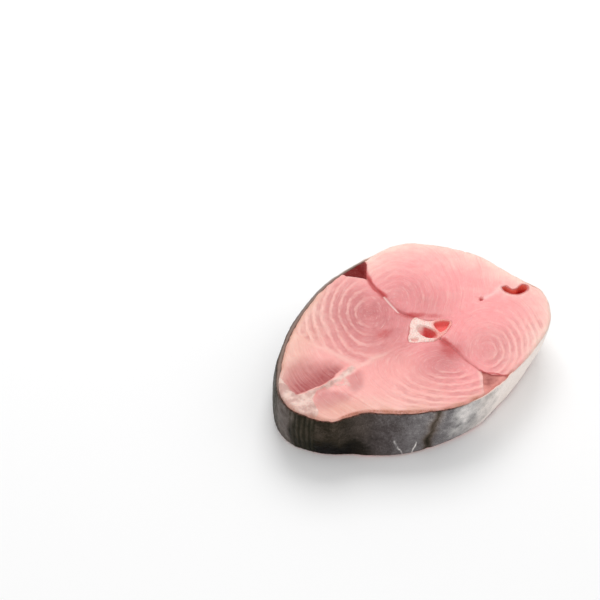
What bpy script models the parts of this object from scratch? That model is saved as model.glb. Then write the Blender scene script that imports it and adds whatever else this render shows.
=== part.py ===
"""A raw Spanish mackerel steak: one thick slice cut across the fish, lying on its lower cut face.

Metres, +Z up. The board is at Z = 0 and the origin is the middle of the steak's box on the board.
-X is the fish's back, +X its belly, and +Y and -Y are its two flanks. The fish's length runs along Z.
The flesh is one solid with a backbone, two strips of red muscle and a skin round it.
"""

import math

import bmesh
import bpy
import numpy as np

# Slice
THICKNESS = 0.0210
BULGE = 0.0011  # how far the side swells between the two cuts
GAP = 0.0003  # free space between two solids that lie against each other
CLEAR = 0.0004  # backbone and red muscle end this far above the board

# Outer outline of the skin at the upper cut, from the belly's keel round by the +Y flank to the back.
# The third value is how far the lower cut stands out from the upper one: the belly rises towards the
# tail, and the slice leans a little because the two cuts aren't quite square.
OUTLINE = (
    (0.0630, -0.0100, -0.0040),
    (0.0602, 0.0000, -0.0030),
    (0.0580, 0.0105, -0.0020),
    (0.0535, 0.0250, -0.0008),
    (0.0415, 0.0400, 0.0004),
    (0.0310, 0.0465, 0.0010),
    (0.0180, 0.0470, 0.0014),
    (0.0000, 0.0437, 0.0016),
    (-0.0125, 0.0400, 0.0018),
    (-0.0280, 0.0316, 0.0020),
    (-0.0410, 0.0222, 0.0020),
    (-0.0510, 0.0120, 0.0018),
    (-0.0585, 0.0015, 0.0010),
    (-0.0628, -0.0075, -0.0001),
    (-0.0630, -0.0165, -0.0012),
    (-0.0580, -0.0250, -0.0020),
    (-0.0530, -0.0303, -0.0028),
    (-0.0460, -0.0310, 0.0004),
    (-0.0390, -0.0328, 0.0036),
    (-0.0275, -0.0402, 0.0023),
    (-0.0143, -0.0464, -0.0012),
    (-0.0030, -0.0484, -0.0029),
    (0.0095, -0.0474, -0.0036),
    (0.0290, -0.0409, -0.0050),
    (0.0402, -0.0360, -0.0056),
    (0.0505, -0.0300, -0.0056),
    (0.0590, -0.0205, -0.0050),
)
SKIN_BACK = 0.0019  # skin thickness along the back
SKIN_BELLY = 0.0009  # skin thickness along the belly
SKIN_SHORT = 0.0009  # the skin ends this far from both cut faces, because it shrinks back
SKIN_LIP = 0.0004  # rounding of the skin's two cut edges

# Backbone: a kite of bone round three canals
BONE_OUTLINE = (
    (0.0168, -0.0062),
    (0.0130, -0.0018),
    (0.0078, 0.0034),
    (0.0030, 0.0008),
    (-0.0036, -0.0070),
    (0.0008, -0.0108),
    (0.0055, -0.0128),
    (0.0115, -0.0112),
)
BONE_CENTRE = (0.0066, -0.0070)
BONE_PROUD = 0.0003  # the bone stands this far out of the flesh round it, which has shrunk
CUP_RADII = (0.0031, 0.0046)  # hollow end of the vertebra, an ellipse
CUP_TURN = math.radians(14)
CUP_DEPTH = 0.0070
CUP_PAST = 0.25  # the cutting cone goes on past the rim by this share of its depth
HAEMAL_CANAL = ((0.0114, -0.0046), (0.0160, -0.0063), (0.0119, -0.0092))
NEURAL_CANAL = ((-0.0010, -0.0071), (0.0014, -0.0078), (0.0010, -0.0097))

# Red muscle along the two lateral lines: a wedge under the skin of each flank.
# Each lean is how far the wedge has shifted at the lower cut, where the flank stands elsewhere.
RED_MUSCLE_LEFT = (
    (-0.0045, 0.0500),
    (0.0120, 0.0500),
    (0.0102, 0.0415),
    (0.0046, 0.0335),
    (-0.0012, 0.0398),
)
RED_MUSCLE_RIGHT = (
    (-0.0030, -0.0520),
    (0.0228, -0.0520),
    (0.0186, -0.0428),
    (0.0113, -0.0360),
    (0.0070, -0.0415),
)
LEFT_LEAN = (0.0, 0.0015)
RIGHT_LEAN = (0.0, 0.0036)

# Body cavity, closed to a slit near the vent
SLIT_PATH = ((0.0493, -0.0004), (0.0511, -0.0040), (0.0547, -0.0058), (0.0586, -0.0042))
SLIT_WIDTH = 0.0029
SLIT_LEAN = (-0.0034, 0.0004)

# Seams between the muscle blocks, where the cut face sinks
SEAMS = (
    ((-0.0030, -0.0074), (-0.0170, -0.0084), (-0.0280, -0.0102), (-0.0450, -0.0108), (-0.0610, -0.0125)),
    ((0.0168, -0.0062), (0.0280, -0.0048), (0.0390, -0.0018), (0.0490, -0.0018), (0.0620, -0.0060)),
    ((0.0076, 0.0030), (0.0040, 0.0110), (0.0044, 0.0220), (0.0050, 0.0330), (0.0055, 0.0440)),
    ((0.0088, -0.0118), (0.0102, -0.0190), (0.0104, -0.0280), (0.0113, -0.0370), (0.0110, -0.0480)),
    ((-0.0400, 0.0225), (-0.0368, 0.0120), (-0.0315, 0.0020), (-0.0270, -0.0095)),
)
SEAM_DEPTH = 0.0008
SEAM_WIDTH = 0.0016
DOME = 0.0009  # how far a muscle block swells above its seams
DOME_REACH = 0.0100  # distance from a seam at which a block has its full height
EDGE_DROP = 0.0013  # the cut face rounds off this much at the skin
EDGE_WIDTH = 0.0030

# Flakes: rings of muscle about one middle in each of the four blocks (middle, stretch along X and Y)
BLOCKS = (
    ((-0.0035, 0.0140), (1.00, 1.05)),
    ((0.0030, -0.0210), (1.30, 1.00)),
    ((0.0200, -0.0220), (1.35, 1.00)),
    ((0.0150, 0.0190), (1.10, 1.15)),
)
FLAKE_SPACING = 0.0060
FLAKE_HEIGHT = 0.0003
FLAKE_REACH = 0.0300  # the ridges have faded at this distance from the middle

# Mesh fineness
SECTORS = 120
FLESH_RINGS = 25
SIDE_STEPS = 4
BONE_SECTORS = 40
CUP_SECTORS = 24


def smooth_loop(points, per_span=16):
    """A closed Catmull-Rom curve through the points."""
    p = np.array(points, float)
    before, after, beyond = np.roll(p, 1, 0), np.roll(p, -1, 0), np.roll(p, -2, 0)
    t = (np.arange(per_span) / per_span)[:, None, None]
    curve = 0.5 * (
        2 * p
        + (after - before) * t
        + (2 * before - 5 * p + 4 * after - beyond) * t**2
        + (3 * p - before - 3 * after + beyond) * t**3
    )
    return curve.transpose(1, 0, 2).reshape(-1, p.shape[1])


def smooth_path(points, per_span=8):
    """An open Catmull-Rom curve through the points, ends included."""
    p = np.array(points, float)
    p = np.vstack([2 * p[0] - p[1], p, 2 * p[-1] - p[-2]])
    t = (np.arange(per_span) / per_span)[:, None]
    spans = []
    for a, b, c, d in zip(p, p[1:], p[2:], p[3:]):
        bend = (2 * a - 5 * b + 4 * c - d) * t**2
        twist = (3 * b - a - 3 * c + d) * t**3
        spans.append(0.5 * (2 * b + (c - a) * t + bend + twist))
    return np.vstack([*spans, p[-2:-1]])


def by_angle(loop, centre, count):
    """The loop at evenly spaced angles about the centre, counter-clockwise from +X."""
    away = loop[:, :2] - np.array(centre)
    angle = np.arctan2(away[:, 1], away[:, 0])
    wanted = np.linspace(0, 2 * math.pi, count, endpoint=False)
    return np.stack([np.interp(wanted, angle, column, period=2 * math.pi) for column in loop.T], 1)


def outward(loop):
    """The unit normal that points out of a counter-clockwise loop, at each of its points."""
    along = np.roll(loop, -1, 0) - np.roll(loop, 1, 0)
    normal = np.stack([along[:, 1], -along[:, 0]], 1)
    return normal / np.linalg.norm(normal, axis=1)[:, None]


def section(outline, height, inset):
    """The outline at a height above the board, swollen and leaning there, and moved in by inset."""
    rise = height / THICKNESS
    out = BULGE * (1 - (2 * rise - 1) ** 2) + outline[:, 2] * (1 - rise) - inset
    return outline[:, :2] + outward(outline[:, :2]) * out[:, None]


def skin_thickness(outline):
    """Thick along the back, thin along the belly."""
    back = (outline[:, 0].max() - outline[:, 0]) / np.ptp(outline[:, 0])
    return SKIN_BELLY + (SKIN_BACK - SKIN_BELLY) * back


def distance_to(points, path):
    """How far each point lies from a chain of straight spans."""
    nearest = np.full(len(points), np.inf)
    for a, b in zip(path, path[1:]):
        span = b - a
        share = np.clip((points - a) @ span / (span @ span), 0, 1)
        nearest = np.minimum(nearest, np.hypot(*(points - a - share[:, None] * span).T))
    return nearest


def flake_relief(points):
    """Ridges that ring the middle of whichever muscle block is nearest."""
    rings = [np.hypot((points[:, 0] - m[0]) / s[0], (points[:, 1] - m[1]) / s[1]) for m, s in BLOCKS]
    nearest = np.min(rings, axis=0)
    fade = np.clip(nearest / FLAKE_SPACING - 1, 0, 1) * np.clip(3 * (1 - nearest / FLAKE_REACH), 0, 1)
    return FLAKE_HEIGHT * fade * np.cos(2 * math.pi * nearest / FLAKE_SPACING)


def cut_face(points, to_edge):
    """The upper cut's height above the board at each point."""
    seam = np.min([distance_to(points, smooth_path(s)) for s in SEAMS], axis=0)
    swell = DOME * (1 - np.exp(-((seam / DOME_REACH) ** 2)))
    groove = SEAM_DEPTH * np.exp(-((seam / SEAM_WIDTH) ** 2))
    edge = EDGE_DROP * np.clip(1 - to_edge / EDGE_WIDTH, 0, 1) ** 2
    inside = np.clip(to_edge / EDGE_WIDTH - 0.5, 0, 1) * np.clip(seam / SEAM_WIDTH - 0.5, 0, 1)
    return THICKNESS - DOME + swell + flake_relief(points) * inside - groove - edge


def ring_solid(name, rings, material):
    """A solid with a closed tube of rings for its surface: all have as many points, the last joins the first."""
    count = len(rings[0])
    mesh = bpy.data.meshes.new(name)
    points = np.vstack(rings)
    faces = []
    for i in range(len(rings)):
        here, there = i * count, (i + 1) % len(rings) * count
        for j in range(count):
            k = (j + 1) % count
            faces.append((here + j, here + k, there + k, there + j))
    mesh.from_pydata(points.tolist(), [], faces)
    return finished(name, mesh, material)


def finished(name, mesh, material):
    """An object for the mesh, with its faces pointing out and its round faces shaded smooth."""
    shape = bmesh.new()
    shape.from_mesh(mesh)
    bmesh.ops.recalc_face_normals(shape, faces=shape.faces)
    shape.to_mesh(mesh)
    shape.free()
    mesh.shade_smooth()
    mesh.set_sharp_from_angle(angle=math.radians(50))
    mesh.materials.append(material)
    thing = bpy.data.objects.new(name, mesh)
    bpy.context.scene.collection.objects.link(thing)
    return thing


def at_height(loop, height):
    """The loop's points in space, at one height or at one height each."""
    return np.column_stack([loop, np.broadcast_to(height, len(loop))])


def prism(name, loop, low, high, material):
    """The loop pulled straight up from low to high, capped at both ends."""
    shape = bmesh.new()
    base = shape.faces.new([shape.verts.new((x, y, low)) for x, y in loop])
    pulled = bmesh.ops.extrude_face_region(shape, geom=[base])["geom"]
    for vert in (g for g in pulled if isinstance(g, bmesh.types.BMVert)):
        vert.co.z = high
    mesh = bpy.data.meshes.new(name)
    shape.to_mesh(mesh)
    shape.free()
    return finished(name, mesh, material)


def guide(name, loop, lean=(0, 0), low=-THICKNESS):
    """A shape that only cuts another: the loop carried through the slice, shifted by lean at its foot."""
    cutter = prism(name, loop, low, 2 * THICKNESS, bpy.data.materials["bone"])
    for vert in cutter.data.vertices:
        fall = 1 - vert.co.z / THICKNESS
        vert.co.x += lean[0] * fall
        vert.co.y += lean[1] * fall
    return as_guide(cutter)


def as_guide(cutter):
    """Keeps a cutting shape out of the picture."""
    cutter.hide_render = True
    cutter.display_type = "WIRE"
    return cutter


def combine(target, other, operation):
    """Adds an exact Boolean to the target."""
    modifier = target.modifiers.new(other.name, "BOOLEAN")
    modifier.operation = operation
    modifier.solver = "EXACT"
    modifier.object = other


def grown(loop, by):
    """The loop, moved out by a distance."""
    return np.array(loop) + outward(np.array(loop)) * by


def counter_clockwise(loop):
    """The loop, turned round if it runs clockwise seen from above."""
    p = np.array(loop, float)
    area = np.sum(p[:, 0] * np.roll(p[:, 1], -1) - np.roll(p[:, 0], -1) * p[:, 1])
    return p if area > 0 else p[::-1]


def material(name, colour, roughness):
    """A plain finish of one colour."""
    made = bpy.data.materials.new(name)
    made.use_nodes = True
    shader = made.node_tree.nodes["Principled BSDF"]
    shader.inputs["Base Color"].default_value = (*colour, 1)
    shader.inputs["Roughness"].default_value = roughness
    shader.inputs["Metallic"].default_value = 0
    return made


def make_skin(outline, finish):
    """A band round the steak, open above and below, with rounded cut edges."""
    thick = skin_thickness(outline)
    low, high = SKIN_SHORT, THICKNESS - SKIN_SHORT
    wall = np.linspace(low + SKIN_LIP, high - SKIN_LIP, SIDE_STEPS + 1)
    outside = [(height, 0) for height in wall]
    upper_edge = [(high, SKIN_LIP), (high, thick - SKIN_LIP)]
    inside = [(height, thick) for height in wall[::-1]]
    lower_edge = [(low, thick - SKIN_LIP), (low, SKIN_LIP)]
    around = outside + upper_edge + inside + lower_edge
    rings = [at_height(section(outline, height, inset), height) for height, inset in around]
    return ring_solid("skin", rings, finish)


def make_flesh_body(name, outline, hole, finish):
    """All that the skin wraps, with the backbone's hole through it."""
    inset = skin_thickness(outline) + GAP
    top_edge = section(outline, THICKNESS, inset)
    foot_edge = section(outline, 0, inset)
    rings = []
    for share in np.linspace(0, 1, FLESH_RINGS):
        points = hole + (top_edge - hole) * share
        to_edge = np.linalg.norm(top_edge - points, axis=1)
        rings.append(at_height(points, cut_face(points, to_edge)))
    for height in np.linspace(THICKNESS - EDGE_DROP, EDGE_DROP, SIDE_STEPS)[1:]:
        rings.append(at_height(section(outline, height, inset), height))
    inward = (foot_edge - hole) / np.linalg.norm(foot_edge - hole, axis=1)[:, None]
    rings.append(at_height(foot_edge - inward * EDGE_DROP, 0))
    rings.append(at_height(hole, 0))
    return ring_solid(name, rings, finish)


def slit_loop():
    """The body cavity's slit: a band of even width along its path, with round ends."""
    path = smooth_path(SLIT_PATH)
    along = np.gradient(path, axis=0)
    along /= np.linalg.norm(along, axis=1)[:, None]
    side = np.stack([-along[:, 1], along[:, 0]], 1)
    reach = SLIT_WIDTH / 2 * np.sqrt(1 - np.linspace(-0.92, 0.92, len(path)) ** 4)[:, None]
    return counter_clockwise(np.vstack([path + side * reach, (path - side * reach)[::-1]]))


def cup_guide(name, rim, tip):
    """A cone that cuts a hollow end of the vertebra, from its tip to its rim and on past it."""
    turn = np.linspace(0, 2 * math.pi, CUP_SECTORS, endpoint=False)
    across = CUP_RADII[0] * (1 + CUP_PAST) * np.cos(turn)
    along = CUP_RADII[1] * (1 + CUP_PAST) * np.sin(turn)
    cos, sin = math.cos(CUP_TURN), math.sin(CUP_TURN)
    ring = np.stack([across * cos - along * sin, across * sin + along * cos], 1) + np.array(BONE_CENTRE)
    points = [*at_height(ring, rim + (rim - tip) * CUP_PAST).tolist(), (*BONE_CENTRE, tip)]
    faces = [(i, (i + 1) % CUP_SECTORS, CUP_SECTORS) for i in range(CUP_SECTORS)]
    mesh = bpy.data.meshes.new(name)
    mesh.from_pydata(points, [], [*faces, tuple(range(CUP_SECTORS))])
    return as_guide(finished(name, mesh, bpy.data.materials["bone"]))


def make_backbone(finish):
    """The vertebra, hollow at both ends, with its two canals right through."""
    loop = by_angle(smooth_loop(BONE_OUTLINE), BONE_CENTRE, BONE_SECTORS)
    top = THICKNESS - DOME + BONE_PROUD
    bone = prism("backbone", loop, CLEAR, top, finish)
    combine(bone, cup_guide("cup_above", top, top - CUP_DEPTH), "DIFFERENCE")
    combine(bone, cup_guide("cup_below", CLEAR, CLEAR + CUP_DEPTH), "DIFFERENCE")
    for name, canal in (("haemal_canal", HAEMAL_CANAL), ("neural_canal", NEURAL_CANAL)):
        loop = counter_clockwise(smooth_loop(canal, per_span=6))
        combine(bone, guide(name, loop), "DIFFERENCE")


def make_red_muscle(name, corners, lean, flesh, outline, hole, finish):
    """The strip is what its wedge has of the flesh's body, and the flesh keeps clear of it."""
    loop = counter_clockwise(corners)
    strip = make_flesh_body(name, outline, hole, finish)
    combine(strip, guide(name + "_wedge", loop, lean, CLEAR), "INTERSECT")
    combine(flesh, guide(name + "_room", grown(loop, GAP), lean), "DIFFERENCE")


def centre_on_origin(things, guide):
    """Moves the whole so that the guide object's box is centred over the origin."""
    corners = np.array([v.co for v in guide.data.vertices])
    middle = (corners.min(0) + corners.max(0)) / 2
    for thing in things:
        thing.location.x -= middle[0]
        thing.location.y -= middle[1]


def main():
    for thing in list(bpy.data.objects):
        bpy.data.objects.remove(thing)
    pink = material("flesh", (0.86, 0.42, 0.39), 0.35)
    silver = material("skin", (0.09, 0.10, 0.10), 0.28)
    bone_white = material("bone", (0.93, 0.80, 0.70), 0.5)
    dark_red = material("red_muscle", (0.22, 0.03, 0.03), 0.4)

    outline = by_angle(smooth_loop(OUTLINE), BONE_CENTRE, SECTORS)
    bone_loop = by_angle(smooth_loop(BONE_OUTLINE), BONE_CENTRE, SECTORS)
    hole = bone_loop + outward(bone_loop) * GAP

    skin = make_skin(outline, silver)
    flesh = make_flesh_body("flesh", outline, hole, pink)
    make_backbone(bone_white)
    make_red_muscle("red_muscle_left", RED_MUSCLE_LEFT, LEFT_LEAN, flesh, outline, hole, dark_red)
    make_red_muscle("red_muscle_right", RED_MUSCLE_RIGHT, RIGHT_LEAN, flesh, outline, hole, dark_red)
    combine(flesh, guide("body_cavity", slit_loop(), SLIT_LEAN), "DIFFERENCE")
    centre_on_origin(bpy.context.scene.objects, skin)


main()
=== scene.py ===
"""Dresses the solids of a raw Spanish mackerel steak: flesh, red muscle, backbone and skin.

Metres, +Z up. -X is the fish's back, +X its belly, +Y its left and -Y its right flank, and its length runs
along Z.
Shapes are worked out in the source's own frame and then moved by shift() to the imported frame.
"""

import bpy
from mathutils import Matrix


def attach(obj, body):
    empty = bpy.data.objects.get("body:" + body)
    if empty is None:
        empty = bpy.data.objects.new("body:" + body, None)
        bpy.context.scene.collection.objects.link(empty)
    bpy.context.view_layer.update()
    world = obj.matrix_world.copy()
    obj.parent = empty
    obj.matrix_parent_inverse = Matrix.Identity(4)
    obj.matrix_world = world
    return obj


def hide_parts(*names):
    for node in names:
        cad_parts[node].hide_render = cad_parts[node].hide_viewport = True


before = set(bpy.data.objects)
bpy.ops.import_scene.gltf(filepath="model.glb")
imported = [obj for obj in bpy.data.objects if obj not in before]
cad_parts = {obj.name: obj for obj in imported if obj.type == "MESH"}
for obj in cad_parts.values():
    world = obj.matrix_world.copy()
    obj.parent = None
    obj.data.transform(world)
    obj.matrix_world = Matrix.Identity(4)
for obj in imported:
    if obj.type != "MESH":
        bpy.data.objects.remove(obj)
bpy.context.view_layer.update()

import math

import bmesh
import bpy
import numpy as np
from mathutils import Vector

MM = 0.001


def mm(*points):
    """Points given in millimetres, as rows in metres."""
    return np.array(points, float) / 1000


# Slice
THICKNESS = 0.0210
BULGE = 0.0011  # how far the side swells between the two cuts

# Outer outline of the skin at the upper cut, from the belly's keel round by the left flank to the back.
# The third value is how far the lower cut stands out from the upper one.
OUTLINE = mm(
    (63, -10, -4), (60.2, 0, -3), (58, 10.5, -2), (53.5, 25, -0.8), (41.5, 40, 0.4), (31, 46.5, 1),
    (18, 47, 1.4), (0, 43.7, 1.6), (-12.5, 40, 1.8), (-28, 31.6, 2), (-41, 22.2, 2), (-51, 12, 1.8),
    (-58.5, 1.5, 1), (-62.8, -7.5, -0.1), (-63, -16.5, -1.2), (-58, -25, -2), (-53, -30.3, -2.8),
    (-46, -31, 0.4), (-39, -32.8, 3.6), (-27.5, -40.2, 2.3), (-14.3, -46.4, -1.2), (-3, -48.4, -2.9),
    (9.5, -47.4, -3.6), (29, -40.9, -5), (40.2, -36, -5.6), (50.5, -30, -5.6), (59, -20.5, -5),
)
SKIN_BACK = 0.0019  # skin thickness along the back
SKIN_BELLY = 0.0009  # skin thickness along the belly
SKIN_SHORT = 0.0009  # the skin ends this far from both cut faces
SKIN_THINNED = 0.45  # share of its thickness that the skin keeps along the right flank
SKIN_LIP = 0.0003  # rounding of the skin's two cut edges
GROWN_IN = 0.0002  # flesh reaches this far into skin and bone, as they are grown together

# Backbone
BONE_OUTLINE = mm(
    (19.4, -6.6), (16.6, -3.6), (13, -2.2), (10.4, -0.4), (7.8, 3), (4.4, 1.4), (1.4, -2), (-3, -7.8),
    (1.2, -11.1), (6, -13), (10.2, -12.2), (15, -10.6),
)
BONE_CENTRE = (0.0066, -0.0070)
BONE_PROUD = 0.0003
CLEAR = 0.0004  # backbone and red muscle end this far above the board
CUP_RADII = (0.0031, 0.0049)
CUP_TURN = 14
CUP_DEPTH = 0.0034
TO_RED_SIDE = (0.85, -0.52)  # the way from the middle to the bloody side of the cup
TO_PALE_SIDE = (-0.45, -0.89)
HAEMAL_CANAL = mm((12, -4.6), (15, -4.3), (18, -6.4), (14.6, -9), (11.6, -9.4))
NEURAL_CANAL = mm((-0.9, -6.9), (1.4, -7.8), (0.4, -9.2), (-1.3, -8.1))

# Red muscle: a wedge under the skin of each flank, counter-clockwise, and its shift at the lower cut
RED_MUSCLE_LEFT = mm((-1.6, 39.6), (1.6, 37.2), (4.6, 33.8), (6.6, 37), (9.8, 41.5), (12, 50), (-4.5, 50))
RED_MUSCLE_RIGHT = mm(
    (2.5, -52), (22.5, -52), (17.8, -43.7), (13.7, -40.5), (11.5, -36.8), (10, -39.8), (6.6, -44.5),
)
LEFT_LEAN = (0.0, 0.0015)
RIGHT_LEAN = (0.0, 0.0036)
MUSCLE_GAP = 0.00004  # room between flesh and red muscle

# Body cavity, closed to a slit
SLIT_OUTLINE = mm(
    (49.4, -3.3), (51, -6.2), (54.3, -7.5), (57.6, -6.9), (59.2, -4.8), (58, -3.3), (54.3, -4.3),
    (52.2, -3.2), (51.5, -0.4), (49.6, -0.2),
)
SLIT_LEAN = (-0.0034, 0.0004)
PATTERN_LEAN = (-0.0012, -0.0008)  # shift of the flesh's rings and tones at the lower cut

# The four seams that part the muscle blocks, each from the backbone to the skin
BACK_SEAM = mm((-3, -7.4), (-17, -8.4), (-28, -10.2), (-45, -10.8), (-61, -12.5))
BELLY_SEAM = mm((16.8, -6.2), (28, -4.8), (39, -1.8), (49, -1.8), (62, -6))
LEFT_SEAM = mm((7.6, 3), (4, 11), (4.4, 22), (5, 33), (5.5, 44))
RIGHT_SEAM = mm((8.8, -11.8), (10.2, -19), (10.4, -28), (11.3, -37), (11, -48))
# A lesser seam in the back block of the left flank
SHOULDER_SEAM = mm((-40, 22.5), (-36.8, 12), (-31.5, 2), (-27, -9.5))
# Each seam, the depth of its groove and how dark it is, from 0 to 1, the darkness being painted shade along
# the groove
SEAMS = (
    (BACK_SEAM, 0.00008, 0.00),
    (BELLY_SEAM, 0.00006, 0.03),
    (LEFT_SEAM, 0.00035, 0.50),
    (RIGHT_SEAM, 0.00035, 0.50),
    (SHOULDER_SEAM, 0.00010, 0.00),
)
SEAM_WIDTH = 0.0007
DOME = 0.0004  # how far a muscle block swells above its seams
DOME_REACH = 0.0100
EDGE_DROP = 0.0007  # the cut face rounds off this much at the skin
EDGE_WIDTH = 0.0013

# Rings of muscle in the four blocks, in the order belly left, back left, back right, belly right: middle,
# length to width, turn in degrees, size of the first ring, spacing, the two angles in degrees between which
# they show best, and strength
BLOCKS = (
    ((0.0052, 0.0134), 1.75, 46, 0.0085, 0.0034, (-30, 170), 0.30),
    ((-0.0064, 0.0151), 1.70, 57, 0.0066, 0.0045, (70, 232), 1.00),
    ((0.0020, -0.0287), 1.45, 147, 0.0045, 0.0040, (180, 300), 1.00),
    ((0.0207, -0.0289), 1.75, 49, 0.0036, 0.0036, (-125, 30), 0.80),
)
RIDGE = 0.00010  # height of the rings' relief

# Brown and white places of the cut
BROWN_PATCH = mm(
    (-56.6, 1), (-58, -4.9), (-59, -15), (-49.4, -17), (-39, -15), (-34, -7.6), (-35.5, -3), (-40.7, 2),
    (-45.7, 5), (-51.6, 5),
)
BROWN_EDGE = mm((-57, -10.4), (-50, -10.8), (-41, -9.8), (-34, -8))
WHITE_END = mm(
    (-57.2, 3), (-57.1, -5), (-56.5, -10.5), (-50, -12.5), (-41.7, -10.8), (-43.9, -12.9),
    (-49.3, -13.5), (-53.2, -15.7), (-54.8, -19.3), (-56, -24), (-59.5, -23), (-64, -17.7), (-64, -9.6),
    (-60, -1),
)
WHITE_RIDGE = mm((-52, -12.3), (-45.7, -12.5), (-41.9, -11.6), (-37.8, -11.2), (-34, -10.4), (-30, -9.2))
WHITE_HOOK = mm((-41.6, -12.2), (-39.2, -14.6), (-36.8, -13.5), (-36.2, -11.1), (-36.9, -16.3))
SHOULDER_FACE = mm(
    (-53.6, -17.1), (-50.1, -14.7), (-45.6, -14.7), (-41.4, -18.2), (-40.3, -22.5), (-46.1, -23.5),
    (-55.1, -21.6),
)
SHOULDER_SPOT = mm(
    (-33.8, -11.6), (-29.6, -12.2), (-29.6, -15.1), (-33.6, -20.2), (-36.7, -21), (-38.2, -19.2),
    (-36.3, -14.8),
)
PIN_BONE = mm((4.3, 20.2), (4, 15), (3.7, 9))
BELLY_STREAK = mm((40, -1.6), (43.9, -1.3), (49.2, -1))
WEDGE_SIDE = mm((5, -47), (6, -44), (9.2, -40), (10.8, -36.5))
PIT = (0.0380, -0.0015)  # a small bloody pit in the belly seam

# Patches of tone, each as strength, middle, radii and turn in degrees
MAUVE_PATCHES = (
    (0.95, (-0.004, 0.014), (0.013, 0.017), 20),
    (0.90, (-0.010, 0.012), (0.017, 0.023), 20),
    (0.90, (-0.007, 0.000), (0.008, 0.005), 0),
    (0.60, (0.013, 0.013), (0.013, 0.016), 10),
    (0.60, (0.008, 0.007), (0.009, 0.005), -30),
    (0.78, (0.003, -0.023), (0.013, 0.009), 20),
    (0.45, (0.022, -0.027), (0.012, 0.009), 30),
    (0.45, (-0.020, -0.003), (0.010, 0.006), 0),
)
BLOOD_PATCHES = (
    (0.92, (0.0080, 0.0050), (0.0055, 0.0018), -35),
    (0.62, (0.0140, -0.0004), (0.0045, 0.0016), -30),
    (0.62, (-0.0090, 0.0010), (0.0035, 0.0025), 0),
    (1.00, (0.0093, -0.0160), (0.0022, 0.0038), 5),
    (0.85, (0.0104, -0.0136), (0.0015, 0.0016), 5),
    (0.72, (0.0085, -0.0210), (0.0038, 0.0048), 10),
)
TAN_PATCHES = (
    (0.75, (-0.046, -0.027), (0.012, 0.005), -20),
    (0.50, (-0.042, 0.013), (0.015, 0.006), 38),
)
# Streaks of tone, each as strength, width and path
BLOOD_STREAKS = (
    (1.00, 0.00130, mm((10, 43), (6, 37), (4.8, 28), (4.2, 21))),
    (0.55, 0.00160, mm((3.6, 9), (5, 6), (6.5, 4))),
    (0.30, 0.00090, mm((-4, -8), (-12, -9), (-22, -9.6))),
    (0.45, 0.00050, mm((10.2, -26), (10.6, -31), (11.4, -37))),
    (0.90, 0.00075, mm((11.4, -36.5), (13.6, -40.3), (17.4, -43.4), (21, -43.2))),
    (0.30, 0.00080, mm((35, 2.5), (37, 0), (38, -1.5))),
)
WHITE_STREAKS = (
    (0.70, 0.00150, WHITE_RIDGE),
    (0.50, 0.00090, WHITE_HOOK),
    (0.50, 0.00090, mm((9.5, -10.8), (9.2, -13))),
)

# Skin: the middle of the back, from which distances along it are measured
BACK_MIDDLE = (-0.0640, -0.0120)
# How bright it is, from 0 for black to 1 for white, at such distances
SKIN_TONE = (
    (0.000, 0.47), (0.004, 0.46), (0.007, 0.26), (0.012, 0.24), (0.016, 0.27), (0.021, 0.24),
    (0.027, 0.29), (0.033, 0.37), (0.045, 0.45), (0.051, 0.51), (0.057, 0.56), (0.070, 0.64),
    (0.076, 0.75), (0.082, 0.83), (0.088, 0.91), (0.094, 0.96), (0.102, 1.00),
)
# How brown it is, from 0 to 1, at such distances
SKIN_BROWN = (
    (0.000, 0.65), (0.005, 0.75), (0.009, 1.00), (0.024, 1.00), (0.030, 0.70), (0.040, 0.30),
    (0.050, 0.10), (0.076, 0.00), (0.084, 0.30), (0.100, 0.50),
)
# A crease and two streaks of painted highlight where the wet skin glints: such a distance, negative on the
# right flank, and the height above the board
CREASE = mm((-63.6, 21), (-62.8, 17), (-61, 13.5), (-61.4, 11), (-59.4, 7), (-60, 0), (-59, -2))
PAINTED_GLINTS = (
    mm((-46.6, 8.6), (-48, 5.5), (-50, 1.5)),
    mm((-55, 6.2), (-54.6, 4), (-53.6, 1)),
)

# Colours of the flesh
PINK = (0.92, 0.310, 0.315)
PINK_PALE = (0.95, 0.40, 0.385)
SALMON = (0.90, 0.375, 0.345)
RING_PALE = (0.94, 0.54, 0.48)
CREAM = (0.95, 0.68, 0.58)
MAUVE = (0.54, 0.138, 0.144)
BROWN = (0.39, 0.060, 0.058)
WHITE = (0.82, 0.60, 0.52)
WHITE_DULL = (0.57, 0.355, 0.31)
SINEW = (0.95, 0.66, 0.62)
TAN = (0.74, 0.37, 0.28)
RIM_BROWN = (0.46, 0.15, 0.09)
BLOOD = (0.50, 0.030, 0.030)
BLOOD_BRIGHT = (1.0, 0.22, 0.15)
BLOOD_SHADED_DEEP = (0.75, 0.030, 0.030)

# How fine the grain of the flesh is: stretched out along the rings
GRAIN_SCALES = (("across", 1.5), ("along_x", 2.0), ("along_y", 2.0))

# Colours of the red muscle
MEAT_PALE = (0.82, 0.33, 0.285)
MEAT_DARK = (0.17, 0.008, 0.007)
MEAT_BORDER = (0.28, 0.025, 0.025)
MEAT_LIGHT_GRAIN = (0.75, 0.33, 0.29)
MEAT_DARK_GRAIN = (0.10, 0.008, 0.008)

# Colours of the backbone
BONE_WHITE = (0.97, 0.76, 0.69)
BONE_PINK = (0.90, 0.46, 0.42)
BONE_FRINGE = (0.92, 0.33, 0.29)
BONE_HOLLOW = (0.86, 0.22, 0.23)
CUP_RED = (0.62, 0.016, 0.014)
CANAL_RED = (0.92, 0.115, 0.100)

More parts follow.
